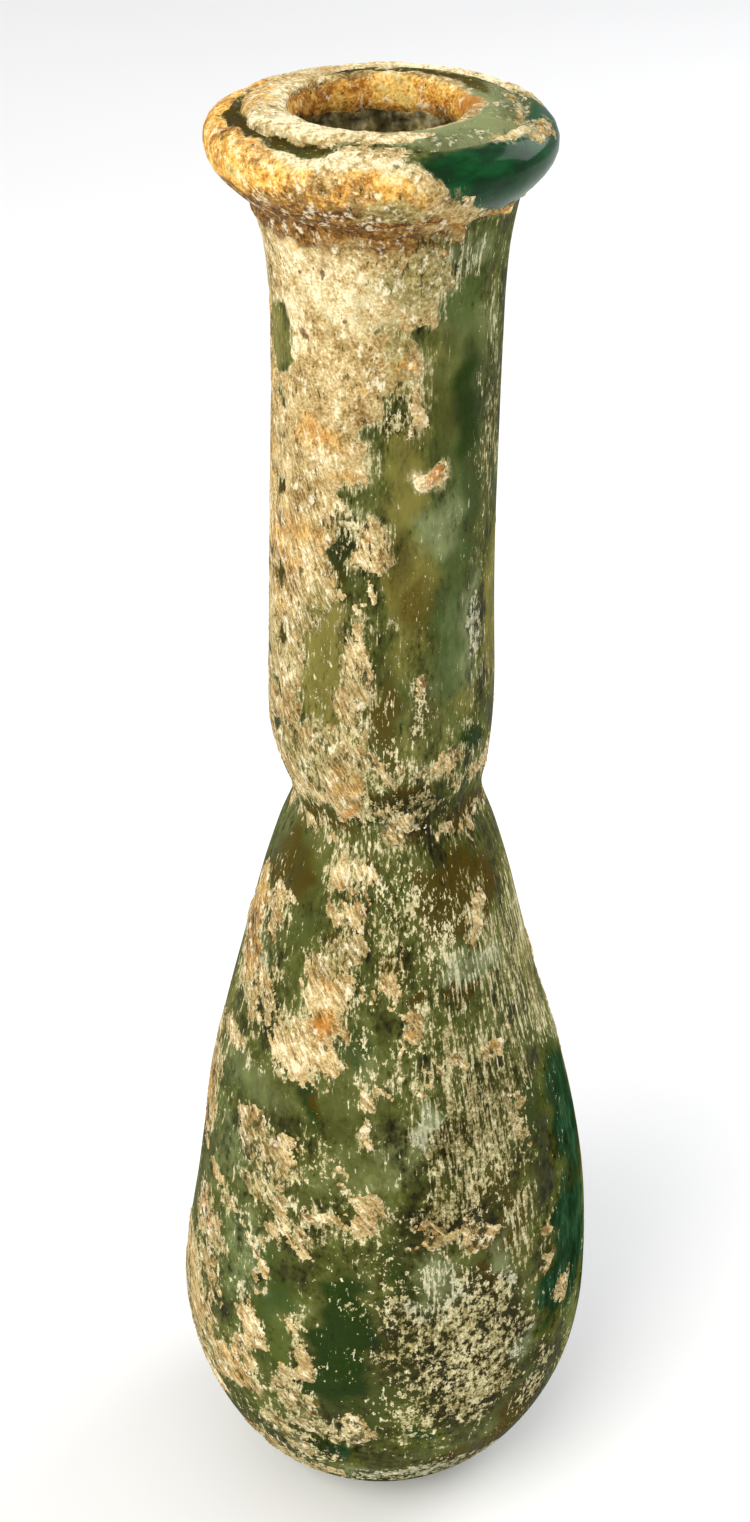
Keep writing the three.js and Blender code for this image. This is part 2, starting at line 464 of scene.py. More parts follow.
BODY_CRUST = [
    (-19.5, 68.2, 1.6, 2, 0), (-17, 64.6, 1.5, 1.2, 0), (-21, 61.7, 1.2, 1.7, 0),
    (-24, 57.8, 1.9, 3.2, 0), (-27, 54, 2.3, 2.3, 0), (-9, 58.7, 1.6, 0.7, 0), (-37, 52, 2.6, 1.9, -25),
    (-52, 55.3, 2.4, 0.9, -30), (-80, 60, 2.9, 3.8, 0), (-68, 56.2, 2.2, 2.2, 0),
    (-57, 62.4, 0.9, 1.9, 15), (-51, 57.7, 1.1, 0.5, 0), (-65, 53.5, 2.7, 1, -10),
    (-67, 49.3, 2.3, 0.9, 0), (-86, 41.5, 3.3, 5.3, 0), (-48, 42.8, 2.2, 2.2, 0), (-37, 42, 1.7, 2.6, 0),
    (-43, 39, 1.8, 1.4, -30), (-34, 37, 1, 1.8, -20), (-28, 35.6, 1, 0.9, 0), (-21, 38, 1.1, 1.6, 0),
    (-8, 39, 0.9, 1.3, -20), (-14, 41.5, 0.5, 0.9, 0), (8, 55.2, 0.5, 0.6, 0), (3, 51.1, 1.7, 0.3, 12),
    (-8, 46.6, 0.45, 0.5, 0), (-2, 50.2, 0.6, 0.2, 0), (43, 51.8, 0.9, 0.7, 0), (44, 63.4, 0.6, 1.4, 0),
    (22, 54.4, 0.4, 0.6, 0), (20, 51.8, 1.4, 0.4, 0), (48, 45.2, 0.4, 1, 0), (17, 37, 2, 0.9, 0),
    (25, 35.6, 1.2, 0.6, -20), (-62, 35.6, 3, 0.5, -22), (-68, 30.5, 3, 2.8, -15),
    (-62, 27, 2, 1.2, -25), (-74, 21.5, 4.8, 4.8, 0), (-58, 18.6, 3.8, 3.2, -20),
    (-64, 14.2, 2.6, 1.4, -30), (-42, 24.2, 0.9, 3.6, 4), (-43, 19.6, 1.2, 2.2, 0),
    (-41, 32, 0.5, 1.9, 0), (-25, 23.4, 0.8, 2.6, 0), (-26, 18.4, 2.4, 1.9, -15),
    (-18, 15.8, 2.6, 1.4, -15), (-11, 16.6, 1.7, 1.9, 10), (-30, 12.8, 1.7, 2.6, 25),
    (-38, 8.4, 2.4, 1.8, 0), (-28, 7.4, 2.6, 1.2, 0), (-17, 8, 1.2, 1, 0), (34, 7.5, 1.6, 1.2, 0),
    (57, 25.2, 0.9, 1.1, -35), (53, 32.3, 0.4, 1.6, -35), (45, 70.6, 4.6, 0.35, 0),
    (-75, 71.2, 2.8, 0.3, 0), (6, 70.8, 0.8, 0.8, 0), (103, 54, 1.6, 3.6, 14), (108, 48, 1.8, 2.4, -25),
    (101, 44.5, 0.8, 1.8, 0), (134, 33, 2.6, 3.4, -20), (127, 28, 3, 2.2, 25), (139, 26.5, 1.4, 2.6, 0),
    (118, 24.5, 1.6, 1.4, -30), (163, 56, 1.6, 3.6, -12), (168, 50, 1.8, 2.6, 15), (174, 45, 1, 2, -20),
    (-168, 37, 2.4, 3.8, 18), (-160, 31.5, 3.2, 2.4, -28), (-150, 28, 1.6, 1.4, 0),
    (-174, 30, 0.9, 2.2, 0), (-118, 56, 1.8, 3.8, 12), (-124, 50, 1.6, 2.6, -20),
    (-113, 47.5, 0.8, 1.6, 0), (-124, 24, 3, 3, 25), (-116, 19, 3.4, 1.8, -25),
    (-104, 15.5, 1.8, 1.4, 0), (178, 13.5, 3, 1.6, 15), (168, 10.5, 2.4, 1.2, -20),
    (110, 13, 2.4, 1.6, -25), (101, 10, 1.6, 1, 0), (148, 68, 1.6, 2, 0), (154, 65.5, 0.8, 1.6, 20),
]
BODY_HOLES = [
    (-53, 20.9, 0.9, 0.9, 0), (-60, 16.5, 1.2, 0.7, 0), (-43.5, 20.5, 0.25, 1.6, 0),
    (-25, 63.4, 0.9, 0.45, 0), (-57, 54.2, 0.8, 0.6, 0), (-66, 24.6, 1.4, 0.5, -20),
    (-76, 18, 0.9, 0.6, 0), (-125, 24, 2, 1.5, 0), (140, 32, 1.5, 2, 0),
]

# How ragged patches are at each level, and where they keep whole.
BREAKUP = {70: 1.15, 76: 0.85, 92: 0.7, 104: 0.42, 117: 0.4, 124: 0.3, 129: 0.18, 131: 0.06}
HOLE_EDGE = 0.1
FIRM = [(22.5, 101.2, 3, 2, 0.7), (-24, 57, 2, 3, 0.2)]

# Spots of each tone, as azimuth, level, half width, half height and strength.
GLASS_TONES = {
    "bare": [
        (62, 123.2, 9.6, 3.6, 1), (68, 30, 4.4, 7.5, 0.9), (50, 23.5, 2, 3, 0.7),
        (-68, 109.5, 2, 2.2, 0.5), (-15, 12.8, 2.4, 2, 0.6), (82, 40, 4, 8, 0.8), (150, 95, 3, 8, 0.5),
        (125, 45, 4, 6, 0.5), (-150, 60, 3, 5, 0.4), (78, 34, 4, 9, 0.7),
    ],
    "calm": [
        (36, 106, 2.6, 9, 1), (12, 101, 1.6, 4, 0.9), (36, 90, 2.2, 9, 0.9), (5, 85, 1.2, 4, 0.6),
        (16, 93, 1.6, 3, 0.7), (-14, 50, 4, 5, 0.8), (-52, 47.5, 5, 2.8, 1), (-50, 67, 3.4, 3, 0.8),
        (-14, 26, 3, 8, 0.6), (-33, 25, 1.8, 8, 0.9), (-10, 43.5, 3, 2.5, 0.8), (-45, 60, 1.8, 3, 0.6),
        (140, 100, 4, 12, 0.6), (-170, 42, 5, 6, 0.6),
    ],
    "teal": [
        (66, 29, 4.4, 7.6, 1.1), (53, 25.5, 2.2, 4.2, 1), (76, 40, 4, 8.6, 1), (85, 20, 4, 6, 0.8),
        (-15, 12.6, 2.6, 2.2, 0.9), (9, 15.5, 1.8, 1.6, 0.8), (42, 114, 1.3, 3.2, 0.3),
        (140, 40, 6, 9, 0.6), (-140, 14, 6, 4, 0.7), (150, 106, 4, 6, 0.5), (-34, 27, 2, 5, 0.35),
        (20, 5.5, 4, 1.5, 0.5), (-2, 5.5, 6, 2.2, 0.8),
    ],
    "green": [
        (38, 114.4, 2.2, 3.6, 1.1), (34, 97, 2.8, 7, 0.9), (37, 87.5, 2, 7, 1.1), (-50, 30, 4, 8, 0.7),
        (-34, 27, 3, 8, 0.6), (-58, 41, 4, 5, 0.5), (60, 30, 4, 9, 0.4), (-32, 12, 6, 5, 0.5),
        (-65, 47, 4, 4, 0.5), (150, 100, 5, 12, 0.6), (-150, 30, 8, 9, 0.6), (120, 60, 5, 9, 0.5),
    ],
    "emerald": [
        (62, 123.4, 13, 3.9, 1), (100, 124, 4, 3, 0.8),
    ],
    "forest": [
        (-13, 26, 2.8, 8, 1.2), (-22, 22, 2.2, 3, 0.8), (-36, 30, 2.6, 7, 0.5), (55, 78.5, 1.7, 1.8, 1),
        (45, 106, 1.9, 6, 0.75), (-27, 48, 1, 2.6, 0.9), (2, 34, 1.6, 4, 0.7),
        (-5, 104.5, 0.8, 2.4, 0.5), (-22, 95, 0.9, 2.2, 0.9), (48, 100, 1.4, 8, 0.6),
        (-5, 20, 3, 5, 0.6), (-160, 30, 6, 8, 0.7), (120, 20, 5, 6, 0.6), (165, 80, 4, 8, 0.5),
        (56, 44, 2, 6, 0.6), (-40, 63, 2, 3, 0.4), (-12, 53.6, 2.4, 2.8, 0.6), (-20, 46.5, 2, 2.4, 0.4),
    ],
    # Brown is mostly soil stain, but its bands round the throat, near levels 71 to 75, are painted shade in
    # the narrowing.
    "brown": [
        (38, 65.6, 4.8, 3.8, 1.1), (18, 66.5, 2, 2.6, 0.6), (-58, 66.5, 4, 4, 0.8),
        (-42, 66.6, 1, 1.1, 1), (-24, 63.2, 1.1, 0.7, 1), (25, 58.3, 0.8, 0.7, 1.4),
        (35, 57.7, 1.2, 0.7, 1.4), (13, 57.8, 0.5, 1.1, 1.4), (-24, 48, 0.7, 1.8, 0.9),
        (17, 91.5, 2, 2.6, 0.6), (-65.5, 98.9, 1.5, 1.4, 1.6), (-65, 91.3, 1.4, 1.8, 1.8),
        (-63, 87.2, 1.4, 1.4, 1.6), (7, 95, 1, 3.5, 0.6), (13.5, 72, 0.9, 1, 1.4),
        (-23, 94.6, 0.9, 2.2, 0.6), (35, 38, 3.4, 6, 0.7), (28, 31, 1.2, 3, 1.2), (25, 22, 4.5, 6, 0.7),
        (43, 14, 3.4, 4, 1), (-40, 71.8, 4, 1.3, 0.8), (10, 75, 3.4, 1.2, 0.9), (60, 71.5, 4, 1.3, 0.9),
        (2, 82, 1.4, 6, 0.7), (2, 61, 1.4, 1.6, 0.8), (130, 62, 5, 6, 0.6), (-130, 88, 4, 6, 0.5),
        (160, 22, 6, 6, 0.6), (-64, 126.9, 9, 1.2, 1.2), (-118, 122.6, 2, 1.2, 1),
        (160, 129.6, 8, 0.8, 1.2), (30, 10, 5, 3, 0.7), (-66, 91, 1.4, 8, 0.8), (-60, 84, 2, 4, 0.5),
    ],
    "haze": [
        (29, 97.2, 2.2, 3, 1), (38, 88, 1.3, 4.6, 0.4), (13, 47.5, 0.9, 2.2, 1.5),
        (36, 59.5, 3.4, 1.8, 1), (12, 32, 2.6, 4, 0.7), (34, 33, 1, 3.4, 1.1), (40, 22.5, 2, 1.4, 0.9),
        (-62, 58, 1.4, 5, 0.5), (-55, 47.5, 5.6, 2.4, 0.55), (62, 128.6, 9, 2.8, 2),
        (95, 127.5, 5, 2.6, 1), (38, 117, 2.6, 1.6, 0.8), (100, 95, 3, 8, 0.5), (-175, 50, 5, 7, 0.5),
        (2, 45, 2.6, 3.4, 0.5), (-72, 68, 2.6, 3, 0.5), (-72, 110, 2.4, 2.6, 0.3), (5, 8.5, 7, 2, 0.8),
        (51, 88, 1.4, 6, 1), (44, 117, 2, 1.6, 0.6), (6, 72, 2, 1.4, 0.6), (-8, 14, 1.5, 1.5, 0.5),
        (-46, 31, 3, 6, 0.5), (-58, 40, 3, 4, 0.5), (-12, 44, 2.4, 2.4, 0.3), (55, 108, 1.4, 8, 0.4),
    ],
    "film": [
        (80, 58, 3.4, 8, 0.8), (76, 88, 2.4, 8, 0.9), (-31, 86, 1.6, 6, 0.9), (60, 66, 3, 4, 0.4),
        (10, 101, 1.7, 5, 1), (20, 80, 3, 5, 0.5), (-10, 80, 2, 8, 0.4), (70, 127, 4, 2, 0.6),
        (110, 72, 6, 9, 0.6), (-160, 70, 6, 6, 0.6), (-80, 50, 4, 4, 0.5), (45, 82.5, 2, 1.4, 0.8),
        (12, 88, 1.4, 2.6, 0.7), (20, 110, 1.2, 5, 0.5), (14, 93, 2.2, 4, 1), (-31, 86, 2.2, 7.5, 1.3),
        (-70, 110, 2.4, 2.6, 0.8),
    ],
    "lace": [
        (32, 47, 6, 8, 0.5), (18, 38, 6, 3, 0.9), (24, 24, 6.2, 9.5, 1.3), (4, 27, 3, 7, 0.9),
        (-26, 12, 5, 4, 0.9), (48, 17, 2.6, 5, 1), (20, 83, 1.6, 3.4, 0.7), (54, 88, 1.2, 3.6, 1.1),
        (10, 73.5, 5, 2.2, 1.1), (-68, 30, 5, 5, 0.5), (-25, 23, 1.4, 3.4, 0.9), (15, 8, 8, 3, 1.1),
        (90, 127.5, 5, 2.6, 0.8), (30, 128, 3, 2, 0.6), (-31, 85, 1.4, 5, 0.5), (-60, 54, 3, 4, 0.5),
        (120, 24, 8, 12, 0.8), (-165, 60, 6, 9, 0.7), (160, 95, 5, 9, 0.6), (-100, 34, 6, 7, 0.7),
        (3, 106, 1, 1.6, 1), (-21, 97, 0.9, 2.6, 1), (60, 103, 1.6, 8, 0.4),
    ],
    "hairs": [
        (28, 47, 5.6, 9.5, 1.3), (56, 56, 3.4, 9, 1.1), (75, 56, 3.4, 10, 1.1), (66, 106, 2.4, 12, 0.7),
        (36, 59, 4.5, 3.4, 1), (42, 36, 3, 5, 0.9), (62, 84, 2.2, 7, 0.6), (-45, 36, 4, 8, 0.4),
        (-70, 50, 3.6, 6, 0.6), (6, 62, 2.4, 5, 0.6), (18, 38, 4, 3, 0.9), (-10, 86, 3, 10, 0.4),
        (38, 117, 2, 2, 1), (110, 100, 5, 14, 0.6), (130, 55, 6, 10, 0.6), (-140, 50, 7, 12, 0.6),
        (15, 30, 4, 5, 0.8),
    ],
    "drops": [
        (3, 65, 2.2, 6, 1.3), (18, 62, 3, 7, 0.7), (30, 44, 6, 8, 0.8), (-12, 26, 5, 9, 0.25),
        (10, 53, 4, 4, 0.6), (-2, 34, 4, 4, 0.7), (12, 20, 6, 8, 0.7), (-36, 12, 5, 5, 0.6),
        (5, 106, 1.2, 2.2, 0.8), (30, 90, 3, 10, 0.2), (-22, 44, 2, 3, 0.6), (110, 35, 9, 20, 0.5),
        (-150, 45, 9, 20, 0.5), (180, 100, 8, 16, 0.4), (58, 14, 4, 5, 0.6), (2, 78, 2, 3, 0.8),
    ],
}


def outer_glass():
    """The outside of the wall: clear glass under a weathered skin, thinly stained with crust."""
    material, tree, place = finish_named("weathered glass")
    skin = kept(tree, "skin", "Vector")
    tones = {name: kept(tree, name) for name in GLASS_TONES}
    broad = grain(place, 0.14, 3, 0.6, seed=1)
    cloudy = grain(skin, 0.45, 5, 0.66, stretch=(1, 1, 0.55), seed=2)
    mottle = grain(skin, 2.0, 4, 0.68, stretch=(1, 1, 0.6), seed=3)
    hairs = grain(skin, 4.6, 2, 0.6, stretch=(1, 1, 0.12), seed=4)
    lacy = grain(place, 1.7, 4, 0.74, seed=5)
    sand = grain(place, 5.0, 2, 0.6, seed=6)
    dust = grain(skin, 4.2, 2, 0.65, stretch=(1, 1, 0.5), seed=7)
    bands = grain(skin, 0.3, 3, 0.6, stretch=(1, 1, 2.2), seed=20)
    stir = 1 - tones["calm"] * 0.65
    clouds = ((cloudy - 0.5) * 2.2 + (mottle - 0.5) * 1.4) * stir

    def spread(name, low=0.25, high=0.9):
        """Where a tone shows, broken up into clouds and mottles."""
        return (tones[name] + clouds).rise(low, high)

    colour = blended(
        0.505 + (broad - 0.5) * 0.3 + ((cloudy - 0.5) * 0.4 + (mottle - 0.5) * 0.3) * stir,
        (0.38, 24, 22, 2), (0.44, 50, 50, 14), (0.49, 74, 78, 30), (0.54, 94, 99, 48), (0.62, 124, 128, 82),
    )
    deep = blended(cloudy * 0.5 + hairs * 0.5, (0.4, 8, 34, 20), (0.5, 14, 50, 30), (0.6, 38, 78, 50))
    colour = mixed(spread("forest") * 0.9, colour, rgb(24, 48, 8))
    colour = mixed(spread("green", 0.0, 1.6) * 0.6, colour, rgb(72, 98, 54))
    colour = mixed(spread("haze", 0.1, 1.4) * 0.9, colour, rgb(140, 148, 100))
    colour = mixed(spread("film", 0.1, 1.3) * 0.8, colour, rgb(134, 125, 60))
    # Brown soil stains, and painted shade in the narrowing round the throat.
    colour = mixed(spread("brown") * 0.85, colour, rgb(70, 54, 4))
    colour = mixed(spread("teal") * 0.9, colour, deep)
    laced = (tones["lace"] + (cloudy - 0.5) * 2).rise(0.3, 1.0)
    colour = mixed(laced * 0.7, colour, rgb(34, 29, 6))
    bottle_green = blended(bands, (0.4, 2, 46, 15), (0.5, 2, 60, 21), (0.6, 8, 76, 32))
    colour = mixed(tones["emerald"].rise(0.3, 0.6), colour, bottle_green)
    dark = (mottle * 0.6 + cloudy * 0.4).rise(0.44, 0.38) * (1 - tones["emerald"]) * stir
    colour = mixed(dark * 0.6, colour, rgb(18, 18, 2))

    # The thin stain of crust: round the patches, and as lace, hairs and drops further out.
    ragged = (cloudy - 0.5) * 3.5 + (mottle - 0.5) * 4 + (hairs - 0.5) * 3 + (dust - 0.5) * 2
    fringe = (kept(tree, "cover") + ragged * kept(tree, "breakup")).rise(-0.25, 0.35)
    lace = lacy * 0.5 + dust * 0.3 + mottle * 0.2 + spread("lace", 0.0, 1.2) * 0.15
    fine = hairs * 0.75 + dust * 0.25 + spread("hairs", 0.0, 1.2) * 0.16
    drops = dust * 0.55 + mottle * 0.25 + cloudy * 0.2 + spread("drops", 0.0, 1.0) * 0.1
    strewn = (fine.rise(0.63, 0.67) * 0.95).at_least(drops.rise(0.605, 0.625))
    strewn = lace.rise(0.61, 0.66).at_least(strewn)
    bald = tones["bare"].at_least(tones["calm"] * 0.75) + tones["emerald"].rise(0.2, 0.6) + (mottle - 0.5)
    thin = fringe.at_least(strewn * bald.rise(0.75, 0.45))
    pale = blended(
        sand * 0.35 + mottle * 0.3 + broad * 0.35,
        (0.4, 86, 76, 40), (0.46, 132, 121, 76), (0.52, 172, 161, 114), (0.6, 218, 208, 164),
    )
    pale = mixed(spread("haze", 0.3, 0.8) * 0.5, pale, rgb(188, 192, 166))
    colour = mixed(thin, colour, pale)
    peaks = (hairs * 0.5 + dust * 0.5).rise(0.52, 0.62) * lacy.rise(0.42, 0.56)
    colour = mixed(thin * peaks * 0.7, colour, rgb(236, 229, 188))

    normal = bumped(0.6, 0.09, thin * 0.7 + mottle * 0.5 + sand * 0.2)
    rough = (0.42 + (cloudy - 0.5) * 0.6 + thin * 0.4 - tones["bare"] * 0.3).at_least(0.1)
    gloss = tones["emerald"].rise(0.2, 0.8) * (1 - thin) * 0.35
    skinned = surface_of(
        tree,
        {"Base Color": colour, "Roughness": rough, "IOR": 1.5, "Specular IOR Level": 0.0, "Coat IOR": 1.4,
         "Coat Roughness": 0.12, "Coat Weight": gloss, "Normal": normal},
    )
    clear_colour = mixed(tones["bare"].rise(0.2, 0.7), rgb(128, 146, 60), rgb(8, 110, 62))
    clear = surface_of(
        tree,
        {"Base Color": clear_colour, "Roughness": rough, "IOR": 1.45, "Transmission Weight": 1.0,
         "Normal": normal},
    )
    share = (0.88 + (cloudy - 0.5) * 0.7 + tones["teal"] * 0.5).at_least(thin).at_least(0.4).at_most(1)
    ended(tree, between(share, clear, skinned))
    return material


def inner_glass():
    """The inside of the wall, with its film of dried earth, which lets light through in places."""
    material, tree, place = finish_named("inner glass")
    blotch = grain(place, 0.35, 4, 0.6, stretch=(1, 1, 0.6), seed=8)
    fine = grain(place, 2.0, 3, 0.6, seed=9)
    colour = blended(fine, (0.36, 112, 96, 46), (0.5, 172, 156, 98), (0.64, 224, 214, 166))
    colour = mixed(kept(tree, "shade"), colour, rgb(36, 20, 4))
    film = surface_of(tree, {"Base Color": colour, "Roughness": 0.8, "Normal": bumped(0.4, 0.1, fine)})
    clear = surface_of(
        tree, {"Base Color": rgb(170, 190, 120), "Roughness": 0.2, "IOR": 1.5, "Transmission Weight": 1.0}
    )
    ended(tree, between(blotch.rise(0.3, 0.6) * 0.8, clear, film))
    return material


GLASS_ROWS = 440
GLASS_COLUMNS = 208
# The level, past the rim, where the inside begins, and the dark ring of shade down in the mouth.
INSIDE_FROM = 130.5
MOUTH_SHADE = [(180, 133.3, 18, 0.35, 1)]

glass = turned_wall("bottle_glass", 0.0, 1.0, GLASS_ROWS, GLASS_COLUMNS)
places = readings(glass.data)
for name, spots in GLASS_TONES.items():
    keep(glass.data, name, tone(spots, *places))
keep(glass.data, "shade", tone(MOUTH_SHADE, *places))
keep(glass.data, "breakup", breakup_at(*places))
all_crust = RIM_CRUST + NECK_CRUST + BODY_CRUST
keep(glass.data, "cover", cover_of(all_crust, RIM_HOLES + NECK_HOLES + BODY_HOLES, *places))
glass.data.materials.clear()
glass.data.materials.append(outer_glass())
glass.data.materials.append(inner_glass())
corners = np.empty(len(glass.data.polygons), np.int32)
glass.data.polygons.foreach_get("loop_start", corners)
vertices = np.empty(len(glass.data.loops), np.int32)
glass.data.loops.foreach_get("vertex_index", vertices)
inside = places[1][vertices[corners]] > INSIDE_FROM
glass.data.polygons.foreach_set("material_index", inside.astype(np.int32))
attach(glass, "root")
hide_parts("bottle")


# ---------------------------------------------------------------------------------------------
# The earth crust. Lime and soil from the burial have baked on to the glass in cream and ochre
# sheets up to about 0.4 mm thick, which have partly flaked off and left ragged edges, holes and lace.
# Each shell is a closed skin whose edges dip just under the face of the glass.
# ---------------------------------------------------------------------------------------------
SUNK = 0.09 * MM
DROPPED_BELOW = -0.12

# Tones on the crust, as azimuth, level, half width, half height and strength.
CRUST_TONES = {
    "gold": [
        (-96, 124, 9.5, 3.6, 1.5), (-66, 124, 6, 2, 1.1), (-150, 124, 8, 3, 0.7),
        (180, 131.9, 14, 1.4, 1.3), (-24, 124, 8, 1.2, 0.9), (-48, 125.2, 3, 1.4, 0.8),
        (-95, 128.4, 3, 1.4, 0.7), (-66, 96, 1.4, 2.6, 0.7), (-76, 60, 3, 3.4, 0.35),
        (-62, 90, 1.2, 2, 0.5), (10, 109.4, 1, 0.5, 0.8), (60, 119.9, 3, 0.5, 0.7),
    ],
    "ochre": [
        (-100, 121.4, 11, 2.4, 1.2), (-52, 121.6, 7, 1.2, 1), (-28, 122.6, 9, 1.4, 1.1),
        (2, 123, 3.4, 1.2, 1), (12, 121.3, 3, 0.8, 0.9), (180, 132.4, 14, 1.2, 0.8),
        (-140, 128, 5, 2.4, 0.8), (-30, 119.4, 4, 1.4, 1.2), (-72, 120, 5, 1.4, 1),
        (46, 119.9, 6, 0.7, 1), (-90, 128.6, 4, 1.4, 0.8), (-40, 104, 3, 1.4, 0.9),
        (-20, 101.2, 1.4, 0.7, 0.7), (-45, 96.4, 3.6, 1.5, 0.8), (-62, 93.6, 2.4, 1.2, 1.1),
        (-15, 107.6, 1.3, 0.7, 0.6), (8, 109.2, 1.3, 0.6, 1), (22, 117.2, 1, 1.4, 0.7),
        (22, 114.2, 1.4, 0.6, 0.7), (-18, 76.6, 2.2, 2, 0.9), (30, 77.2, 2.8, 0.8, 0.7),
        (-85, 80, 2.6, 9, 0.6), (-85, 104, 2.6, 8, 0.7), (-24, 55.3, 1.4, 1.2, 1.2),
        (-22, 58.6, 2, 0.8, 0.9), (-20, 66.2, 1.6, 0.8, 0.9), (-74, 59, 3.4, 4.4, 1.1),
        (-60, 20, 5.5, 4.5, 0.6), (-47, 18.8, 1.2, 2.6, 1.1), (-84, 41, 3, 5, 0.8), (43, 52, 1, 1, 0.9),
        (8, 55, 0.8, 0.9, 0.9), (72, 125.6, 2, 0.6, 0.6), (-85, 30, 3, 6, 0.7), (-150, 95, 6, 9, 0.5),
        (-120, 30, 8, 9, 0.5), (150, 40, 8, 12, 0.5), (-8, 46.6, 0.6, 0.6, 1),
    ],
    # Pale is partly paler crust and partly a painted highlight where light falls on the rim's top and
    # shoulder and on the left of the neck.
    "pale": [
        (-20, 125.9, 9, 1.4, 1.4), (-60, 129.2, 11, 1.6, 1.6), (-50, 124.8, 4, 1.2, 0.7),
        (155, 126.5, 9, 2.6, 1.6), (-160, 127, 8, 3, 1.4), (4, 128.8, 3, 1.2, 1.5),
        (58, 126.6, 3, 0.8, 0.8), (-22, 114.8, 4.6, 3, 0.9), (-54, 111.4, 2.4, 3, 1.2),
        (-58, 116, 2.4, 2.6, 0.7), (-30, 109, 2.6, 2.2, 0.5), (-28, 101, 1.6, 3, 0.4),
        (-12, 94.5, 1.2, 3.4, 1), (-28, 98.4, 1.6, 1.4, 0.9), (-12, 88, 0.9, 3, 0.8),
        (-24, 68.6, 1.6, 1.2, 0.9), (-36, 51.6, 2.2, 1.4, 0.8), (-13, 16.6, 1.6, 2.6, 1.2),
        (-42, 24.4, 0.8, 2.6, 0.9), (17, 101.2, 0.9, 0.8, 1), (35, 77, 1, 0.8, 0.7),
        (-60, 55, 2, 4, 0.3), (-56, 13.5, 2, 2, 0.6),
    ],
    "open": [
        (-24, 62, 3, 3, 0.8), (-70, 57, 6, 9, 0.4), (-42, 40, 5, 6, 0.9), (-84, 42, 4, 6, 0.6),
        (-66, 21, 8, 8, 0.6), (-24, 14, 8, 8, 1), (25, 25, 12, 26, 0.6), (-66, 31, 4, 4, 0.9),
        (-33, 86, 3.5, 6, 0.9), (-38, 78.5, 4, 4, 0.8), (-14, 83, 2, 6, 0.7), (-75, 86, 5, 9, 0.4),
        (12, 116, 3, 2.6, 0.4), (-20, 97.5, 2, 2.6, 0.8), (-8, 96, 2, 3, 0.4), (60, 76, 6, 2, 0.6),
        (-50, 20, 4, 5, 0.4), (150, 50, 9, 30, 0.6), (-140, 50, 9, 30, 0.6), (170, 95, 8, 16, 0.5),
        (5, 107, 1.6, 1.8, 1), (-62, 52.5, 3, 1.6, 0.8), (-30, 8, 9, 3, 0.8),
    ],
    "rust": [
        (25, 101.4, 0.6, 0.6, 1.6), (-9, 96.8, 0.4, 0.5, 1), (95, 131.2, 2.2, 1.2, 1.1),
        (-20, 73.6, 0.5, 0.5, 0.9), (-25, 55.2, 1, 0.5, 0.9), (-67, 30.6, 1.2, 1.4, 1),
        (-38, 104, 1.6, 0.7, 0.7), (22, 118.6, 2, 0.5, 0.9), (-110, 121.5, 3, 1.4, 0.7),
        (-52, 95.8, 1.6, 0.5, 0.6),
    ],
    # Brown is partly brown soil and partly painted shade: the band under the rim's roll and the ring just
    # below the crust down in the mouth.
    "brown": [
        (-12, 121.2, 4.6, 1.8, 1.4), (4, 121.3, 3, 1.2, 1.2), (-62, 121, 7, 1.7, 1.3),
        (-34, 121.3, 4.4, 1.3, 1.1), (-95, 120.6, 6, 1.4, 0.9), (-12, 119.9, 4.4, 1.5, 1.4),
        (3, 119.5, 3, 1.4, 1.4), (17, 118.5, 2.4, 1, 1.4), (26, 117.6, 0.6, 1.2, 1),
        (-56, 119.2, 5, 1.7, 1.2), (-88, 119.2, 5, 1.7, 1.1), (-34, 119.9, 4, 1.4, 0.8),
        (-12, 118.4, 5, 0.9, 0.7), (180, 134.6, 14, 1, 1.4), (-70, 121.4, 6, 0.7, 0.6),
        (-65, 105.7, 1, 0.7, 0.8), (50, 119.1, 6, 0.5, 0.8), (5, 121, 3, 0.5, 0.6),
        (-45, 111.6, 0.5, 0.4, 0.8), (-90, 132.8, 5, 0.8, 1.4),
    ],
    "thin": [
        (13, 115.4, 2.6, 2.2, 1.5), (-6, 113.5, 2.4, 2, 0.6), (2, 108, 1.6, 2.4, 0.7),
        (5, 111.2, 1, 1.2, 0.9), (-33, 86.5, 1.6, 6, 1.4), (-40, 78, 3.5, 3.4, 0.9),
        (-75, 113, 2.6, 1.6, 0.8), (20, 23, 7, 12, 0.5), (-14, 83, 1.4, 7, 0.6), (-70, 85, 3, 8, 0.5),
        (-42, 41, 4, 4, 0.5), (-65, 20, 6, 6, 0.5), (-22, 14, 5, 5, 0.6), (3, 122.2, 2.6, 1.2, 1),
        (-40, 112.6, 3, 1, 0.5), (-24, 61.6, 1.6, 2.2, 0.9), (-78, 118, 3, 1.4, 0.6),
        (-45, 99.5, 2, 1, 0.5),
    ],
}


